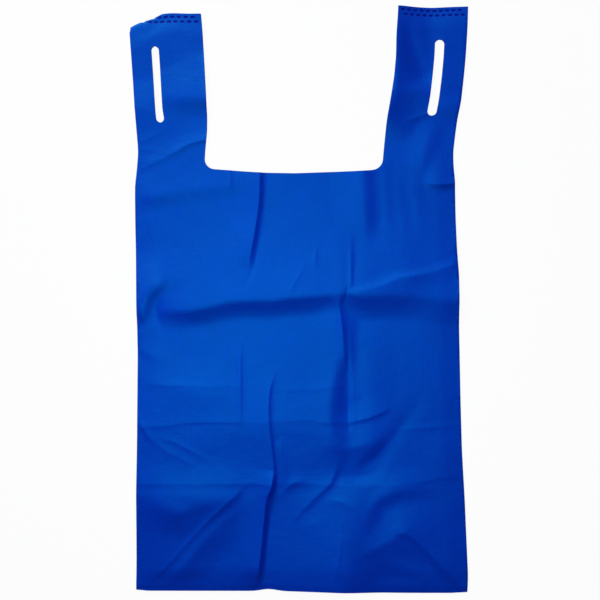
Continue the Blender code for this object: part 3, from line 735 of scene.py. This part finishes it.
def laid_down(s, v):
    """Where each point of the pattern lies on the bag, as x, y, z."""
    u, layer = SECTION.fold_up(s)
    column, row = place(u, v)
    welded = smooth_step((v - BAG_LENGTH + WELDED_BELOW_TOP) / WELDED_OVER)
    sealed = smooth_step((SEALED_OVER - v) / SEALED_OVER)
    calm = calm_near_corner(u, v)
    broad = broad_heights(column, row) * calm
    calm = calm * (1 - welded)
    share = np.interp(layer, range(len(LAYER_SHARES)), LAYER_SHARES)
    share = share + (SEALED_SHARE - share) * np.maximum(sealed, welded)
    air = front_air(u, v) * (1 - sealed)
    under_front = LAYER_SHARES[FRONT_LAYER - 1]
    lowest = -DROP_SHARE * (air * calm + (1 - under_front) * (1 - sealed) * broad)
    fine = sum(fold_heights(fold, column, row) for fold in FINE_FOLDS)
    fine = lowest + SOFT_STOP * np.logaddexp(0, (fine - lowest) / SOFT_STOP)
    fine = fine * np.clip((HALF_WIDTH - np.abs(u)) / FINE_EDGE, 0, 1) * (1 - sealed)
    is_front = np.clip(layer - (FRONT_LAYER - 1), 0, 1)
    spacing = LAYER * (1 - pinched(v))
    z = CLOTH / 2 + layer * spacing + share * broad + is_front * (air + fine) * calm
    fused = CLOTH / 2 + FRONT_LAYER / 2 * spacing + SEALED_SHARE * broad
    z = z + (fused - z) * (1 - FUSED) * dash_depth(u, v)
    u, v, z = CORNER.turn_under(u, v, z)
    column, row = place(u, v)
    return np.column_stack(((column - ORIGIN_PIXEL[0]) * PIXEL, (ORIGIN_PIXEL[1] - row) * PIXEL, z))


def outlines():
    """Every line that the mesh has to follow, on the pattern."""
    length = SECTION.length
    yield along([(s, 0) for s in SECTION.s], BOTTOM_STEP)
    for s in (0, length):
        yield along([(s, 0), (s, NECK_BOTTOM)], UNDER_STEP)
    necks = list(SECTION.necks())
    for middle, half in necks:
        line = along(neck_line(middle, half), EDGE_STEP)
        yield [point for point in line if -TINY <= point[0] <= length + TINY]
    for (middle, half), (after, after_half) in zip(necks, necks[1:]):
        start, end = middle + half, after - after_half
        stops = [start] + [s for s in SECTION.s if start < s < end] + [end]
        yield along([(s, BAG_LENGTH) for s in stops], EDGE_STEP)
    for s, top in SECTION.bends():
        yield along([(s, 0), (s, top)], UNDER_STEP)
    for panel in SECTION.panels():
        yield from panel_outlines(panel)


def panel_outlines(panel):
    """The slots, the weld dashes and the turned corner's bend where they cross one panel."""
    for u, foot, top in slot_ends():
        if within(panel, [(u, 0)])[0]:
            yield on_panel(panel, slot_line(u, foot, top))
    for centre in dash_centres():
        if within(panel, [centre])[0]:
            for inset in (0, DASH_WALL):
                yield on_panel(panel, dash_line(centre, inset))
    for row in CORNER.rows():
        inside = within(panel, row) & (np.array(row)[:, 1] < BAG_LENGTH)
        if inside.sum() > 1:
            yield on_panel(panel, np.array(row)[inside])


def crease_points(fold):
    """Points in rows beside a sharp crease, as (u, v)."""
    line = smooth_path(fold, CREASE_STEP)
    step = np.gradient(line[:, :2], axis=0)
    step /= np.linalg.norm(step, axis=1)[:, None]
    left = np.column_stack((step[:, 1], -step[:, 0]))
    points = []
    for offset in ROW_OFFSETS:
        for side, reach in ((1, fold.left), (-1, fold.right)):
            if offset <= reach and (offset or side > 0):
                points.append(line[:, :2] + side * offset * left)
    points = np.vstack(points)
    return np.column_stack(back_to_flat(points[:, 0], points[:, 1]))


def hexagonal(low, high, step):
    """Points in staggered rows over a rectangle."""
    rise = step * math.sqrt(3) / 2
    rows = np.arange(low[1] + rise / 2, high[1], rise)
    points = []
    for number, y in enumerate(rows):
        xs = np.arange(low[0] + step * (0.25 + 0.5 * (number % 2)), high[0], step)
        points.append(np.column_stack((xs, np.full(len(xs), y))))
    return np.vstack(points)


def with_more(points, new, clearance):
    """The points, and those of the new ones that keep clear of them."""
    tree = KDTree(len(points))
    for number, point in enumerate(points):
        tree.insert((*point, 0), number)
    tree.balance()
    keep = [tree.find((*point, 0))[2] > clearance for point in new]
    return np.vstack((points, new[np.array(keep, bool)]))


def pattern_mesh():
    """The cut pattern in triangles: its points as (s, v), and the corners of each triangle."""
    lines = [np.array(line) for line in outlines()]
    edges = []
    count = 0
    for line in lines:
        edges += [(count + i, count + i + 1) for i in range(len(line) - 1)]
        count += len(line)
    points = np.vstack(lines)
    sharp_folds = [fold for fold in BROAD_FOLDS + FINE_FOLDS if fold.crest < SHARP_CREST]
    for panel in SECTION.panels():
        layer, u_start, s_start, u_end = panel
        step = UNDER_STEP
        if layer == FRONT_LAYER:
            step = FRONT_STEP
            for fold in sharp_folds:
                rows = crease_points(fold)
                rows = on_panel(panel, rows[within(panel, rows, PANEL_MARGIN)])
                points = with_more(points, rows[~cut_away(*rows.T)], CREASE_CLEARANCE)
        s_end = s_start + abs(u_end - u_start)
        spread = hexagonal((s_start, 0), (s_end, BAG_LENGTH), step)
        points = with_more(points, spread[~cut_away(*spread.T)], SPREAD_CLEARANCE * step)
    verts = [Vector(point) for point in points]
    verts, _, faces, _, _, _ = delaunay_2d_cdt(verts, edges, [], 0, SAME_POINT, True)
    flat = np.array([vert[:] for vert in verts])
    corners = np.array(faces)
    middles = flat[corners].mean(axis=1)
    return flat, corners[~cut_away(*middles.T)]


def bag_mesh():
    """The folded bag as a sheet, the part of the cloth's thickness at each point, and its open ends."""
    flat, corners = pattern_mesh()
    s, v = flat.T
    mesh = bpy.data.meshes.new("tshirt_bag_cloth")
    mesh.from_pydata(laid_down(s, v).tolist(), [], corners.tolist())
    uv = mesh.uv_layers.new(name="pattern")
    uv.data.foreach_set("uv", flat[corners].ravel())
    u, _ = SECTION.fold_up(s)
    depth = dash_depth(u, v)
    in_dash = depth[corners].min(axis=1) > FILM_DEPTH
    mesh.polygons.foreach_set("material_index", in_dash.astype(int))
    seal = smooth_step((SEAL_TOP - v) / SEAL_HEIGHT)
    thickness = 1 - np.maximum(depth * (1 - FUSED), seal * SEAL_THINNING)
    ends = np.flatnonzero(np.minimum(s, SECTION.length - s) < END_MARGIN)
    return mesh, thickness, ends


def thicken(mesh, thickness, ends):
    """The bag with the cloth's thickness, joined to a tube and thinner where it is fused."""
    bag = bpy.data.objects.new("tshirt_bag_cloth", mesh)
    bpy.context.scene.collection.objects.link(bag)
    group = bag.vertex_groups.new(name="thickness")
    rounded = np.round(thickness, 2)
    for value in np.unique(rounded):
        group.add(np.flatnonzero(rounded == value).tolist(), float(value), "REPLACE")
    bm = bmesh.new()
    bm.from_mesh(mesh)
    bm.verts.ensure_lookup_table()
    bmesh.ops.remove_doubles(bm, verts=[bm.verts[number] for number in ends], dist=JOIN_DISTANCE)
    loose = [vert for vert in bm.verts if not vert.link_faces]
    bmesh.ops.delete(bm, geom=loose, context="VERTS")
    bmesh.ops.recalc_face_normals(bm, faces=bm.faces)
    bm.to_mesh(mesh)
    bm.free()
    solid = bag.modifiers.new("cloth thickness", "SOLIDIFY")
    solid.thickness = CLOTH
    solid.offset = 0
    solid.use_even_offset = False
    solid.vertex_group = "thickness"
    solid.thickness_vertex_group = 0
    evaluated = bag.evaluated_get(bpy.context.evaluated_depsgraph_get())
    made = bpy.data.meshes.new_from_object(evaluated)
    bag.modifiers.clear()
    bag.data = made
    bag.vertex_groups.clear()
    made.shade_smooth()
    made.set_sharp_from_angle(angle=math.radians(50))
    return bag


class Nodes:
    """Short ways to add and join a material's nodes."""

    def __init__(self, name):
        self.material = bpy.data.materials.new(name)
        self.material.use_nodes = True
        self.tree = self.material.node_tree
        self.shader = self.tree.nodes["Principled BSDF"]
        self.output = self.tree.nodes["Material Output"]

    def add(self, kind, **settings):
        """A new node with these settings."""
        node = self.tree.nodes.new(kind)
        for name, value in settings.items():
            setattr(node, name, value)
        return node

    def join(self, source, target):
        self.tree.links.new(source, target)

    def maths(self, operation, *inputs):
        """A Math node fed by numbers and sockets."""
        node = self.add("ShaderNodeMath", operation=operation)
        for socket, value in zip(node.inputs, inputs):
            if isinstance(value, (int, float)):
                socket.default_value = value
            else:
                self.join(value, socket)
        return node.outputs[0]

    def weighted(self, *parts):
        """The sum of several (socket, weight) parts."""
        total = 0.0
        for socket, weight in parts:
            total = self.maths("MULTIPLY_ADD", socket, weight, total)
        return total

    def pattern(self):
        """The place on the cut pattern, in metres."""
        return self.add("ShaderNodeUVMap", uv_map="pattern").outputs["UV"]

    def noise(self, vector, scale, detail, stretch=(1, 1, 1)):
        """Noise with scale waves to the metre, drawn out where the stretch is below 1."""
        mapping = self.add("ShaderNodeMapping")
        mapping.inputs["Scale"].default_value = stretch
        self.join(vector, mapping.inputs["Vector"])
        noise = self.add("ShaderNodeTexNoise")
        noise.inputs["Scale"].default_value = scale
        noise.inputs["Detail"].default_value = detail
        self.join(mapping.outputs["Vector"], noise.inputs["Vector"])
        return noise.outputs["Fac"]

    def bump(self, height, strength, distance):
        """A Bump node. Its Normal input stays open for another one under it."""
        node = self.add("ShaderNodeBump")
        node.inputs["Strength"].default_value = strength
        node.inputs["Distance"].default_value = distance
        self.join(height, node.inputs["Height"])
        return node

    def colour_between(self, share, dark, light):
        """A colour that goes from dark to light as the share goes from 0 to 1."""
        ramp = self.add("ShaderNodeValToRGB")
        ramp.color_ramp.elements[0].color = (*dark, 1)
        ramp.color_ramp.elements[1].color = (*light, 1)
        self.join(share, ramp.inputs["Fac"])
        return ramp.outputs["Color"]


# The cloth's bond points: their spacing, the least height and the roundness of the ground between them
BOND_PITCH = 0.0024
BOND_FLOOR = 0.25
BOND_ROUNDNESS = 0.1

# Colours as (red, green, blue). The cloth and the film go from a darkest to a lightest one.
CLOTH_COLOURS = ((0.0003, 0.003, 0.295), (0.0006, 0.012, 0.535))
FILM_COLOURS = ((0.0005, 0.004, 0.21), (0.0008, 0.012, 0.38))
SHEEN_COLOUR = (0.0, 0.72, 1.0)
FLOOR_COLOUR = (0.9, 0.9, 0.9)
LAMP_COLOUR = (1.0, 1.0, 0.92)
ROOM_COLOUR = (0.30, 0.40, 1.0)


def cloth_material():
    """Blue spunbond cloth: small staggered bond points, loose fibres and slight unevenness of colour."""
    nodes = Nodes("blue_nonwoven_cloth")
    shader = nodes.shader
    uv = nodes.pattern()
    split = nodes.add("ShaderNodeSeparateXYZ")
    nodes.join(uv, split.inputs[0])
    turns = 2 * math.pi / BOND_PITCH
    across = nodes.maths("COSINE", nodes.maths("MULTIPLY", split.outputs["X"], turns))
    up = nodes.maths("COSINE", nodes.maths("MULTIPLY", split.outputs["Y"], turns))
    points = nodes.maths("SMOOTH_MAX", nodes.maths("MULTIPLY", across, up), BOND_FLOOR, BOND_ROUNDNESS)

    fibres = nodes.noise(uv, 900, 3)
    streaks_up = nodes.noise(uv, 480, 2, (1, 0.12, 1))
    streaks_across = nodes.noise(uv, 480, 2, (0.12, 1, 1))
    streaks = nodes.weighted((streaks_up, 1.0), (streaks_across, 0.7))
    speckles = nodes.noise(uv, 170, 3)
    clouds = nodes.noise(uv, 26, 3)

    creased = nodes.weighted((nodes.noise(uv, 140, 3), 1.0), (nodes.noise(uv, 240, 2, (0.6, 1, 1)), 0.4))
    crinkles = nodes.bump(creased, strength=0.45, distance=0.0005)
    height = nodes.weighted((streaks, 0.5), (points, -0.9), (fibres, 0.8))
    surface = nodes.bump(height, strength=0.7, distance=0.00012)
    nodes.join(crinkles.outputs["Normal"], surface.inputs["Normal"])
    nodes.join(surface.outputs["Normal"], shader.inputs["Normal"])

    shade = nodes.weighted((streaks, 0.35), (points, -0.30), (clouds, 0.35), (fibres, 0.35), (speckles, 0.45))
    nodes.join(nodes.colour_between(shade, *CLOTH_COLOURS), shader.inputs["Base Color"])
    nodes.join(nodes.maths("MULTIPLY_ADD", points, -0.12, 0.66), shader.inputs["Roughness"])
    shader.inputs["IOR"].default_value = 1.6
    shader.inputs["Specular IOR Level"].default_value = 1.0
    shader.inputs["Specular Tint"].default_value = (*SHEEN_COLOUR, 1)
    return nodes.material


def film_material():
    """Cloth melted to a film in a weld dash: darker and shiny, a little uneven."""
    nodes = Nodes("fused_blue_film")
    shader = nodes.shader
    uneven = nodes.noise(nodes.pattern(), 700, 2)
    bump = nodes.bump(uneven, strength=0.6, distance=0.00015)
    nodes.join(bump.outputs["Normal"], shader.inputs["Normal"])
    nodes.join(nodes.colour_between(uneven, *FILM_COLOURS), shader.inputs["Base Color"])
    nodes.join(nodes.maths("MULTIPLY_ADD", uneven, 0.2, 0.16), shader.inputs["Roughness"])
    shader.inputs["Specular IOR Level"].default_value = 0.35
    return nodes.material


def floor_material(shadow_hidden=0.95):
    """White, with a part of the shadow kept."""
    nodes = Nodes("white_floor")
    nodes.shader.inputs["Base Color"].default_value = (*FLOOR_COLOUR, 1)
    nodes.shader.inputs["Roughness"].default_value = 0.9
    nodes.shader.inputs["Specular IOR Level"].default_value = 0.0
    seen = nodes.add("ShaderNodeLightPath").outputs["Is Camera Ray"]
    white = nodes.add("ShaderNodeEmission")
    white.inputs["Strength"].default_value = 1.0
    mix = nodes.add("ShaderNodeMixShader")
    nodes.join(nodes.maths("MULTIPLY", seen, shadow_hidden), mix.inputs[0])
    nodes.join(nodes.shader.outputs[0], mix.inputs[1])
    nodes.join(white.outputs[0], mix.inputs[2])
    nodes.join(mix.outputs[0], nodes.output.inputs["Surface"])
    return nodes.material


def build_bag():
    mesh, thickness, ends = bag_mesh()
    mesh.materials.append(cloth_material())
    mesh.materials.append(film_material())
    bag = thicken(mesh, thickness, ends)
    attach(bag, "root")
    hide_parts("tshirt_bag")


def build_floor():
    """A plain surface, just under the bag so that the two don't touch."""
    bpy.ops.mesh.primitive_plane_add(size=6, location=(0, 0, -0.1 * MM))
    floor = bpy.context.object
    floor.name = "floor"
    floor.data.materials.append(floor_material())


def add_area_light(name, location, target, size, power):
    data = bpy.data.lights.new(name, "AREA")
    data.color = LAMP_COLOUR
    data.shape = "RECTANGLE"
    data.size, data.size_y = size
    data.energy = power
    light = bpy.data.objects.new(name, data)
    light.location = location
    light.rotation_euler = (Vector(target) - light.location).to_track_quat("-Z", "Y").to_euler()
    light.visible_camera = False
    bpy.context.scene.collection.objects.link(light)


def set_background(node, colour, strength):
    node.inputs["Color"].default_value = (*colour, 1)
    node.inputs["Strength"].default_value = strength
    return node.outputs[0]


def light_scene():
    """A window beyond the handles, a lamp above, and a faint blue room that the camera sees as white."""
    add_area_light("window", location=(-0.62, 1.30, 0.80), target=(0, 0, 0), size=(0.60, 0.42), power=21.5)
    add_area_light(
        "lamp", location=(-0.04, -0.02, 0.39), target=(-0.04, -0.02, 0), size=(0.10, 0.28), power=0.66,
    )
    world = bpy.data.worlds.new("room")
    world.use_nodes = True
    tree = world.node_tree
    room = set_background(tree.nodes["Background"], ROOM_COLOUR, 0.22)
    white = set_background(tree.nodes.new("ShaderNodeBackground"), (1, 1, 1), 1.0)
    mix = tree.nodes.new("ShaderNodeMixShader")
    seen = tree.nodes.new("ShaderNodeLightPath")
    tree.links.new(seen.outputs["Is Camera Ray"], mix.inputs[0])
    tree.links.new(room, mix.inputs[1])
    tree.links.new(white, mix.inputs[2])
    tree.links.new(mix.outputs[0], tree.nodes["World Output"].inputs["Surface"])
    bpy.context.scene.world = world


def add_camera():
    """Straight above the bag. The picture takes in as much as the photograph."""
    data = bpy.data.cameras.new("camera")
    data.lens = 85
    data.sensor_width = 36
    camera = bpy.data.objects.new("camera", data)
    away = PICTURE * PIXEL * data.lens / data.sensor_width
    x = (PICTURE / 2 - ORIGIN_PIXEL[0]) * PIXEL
    y = (ORIGIN_PIXEL[1] - PICTURE / 2) * PIXEL
    camera.location = (x, y, STACK + away)
    bpy.context.scene.collection.objects.link(camera)
    bpy.context.scene.camera = camera


build_bag()
build_floor()
light_scene()
add_camera()
bpy.context.scene.view_settings.view_transform = "Standard"
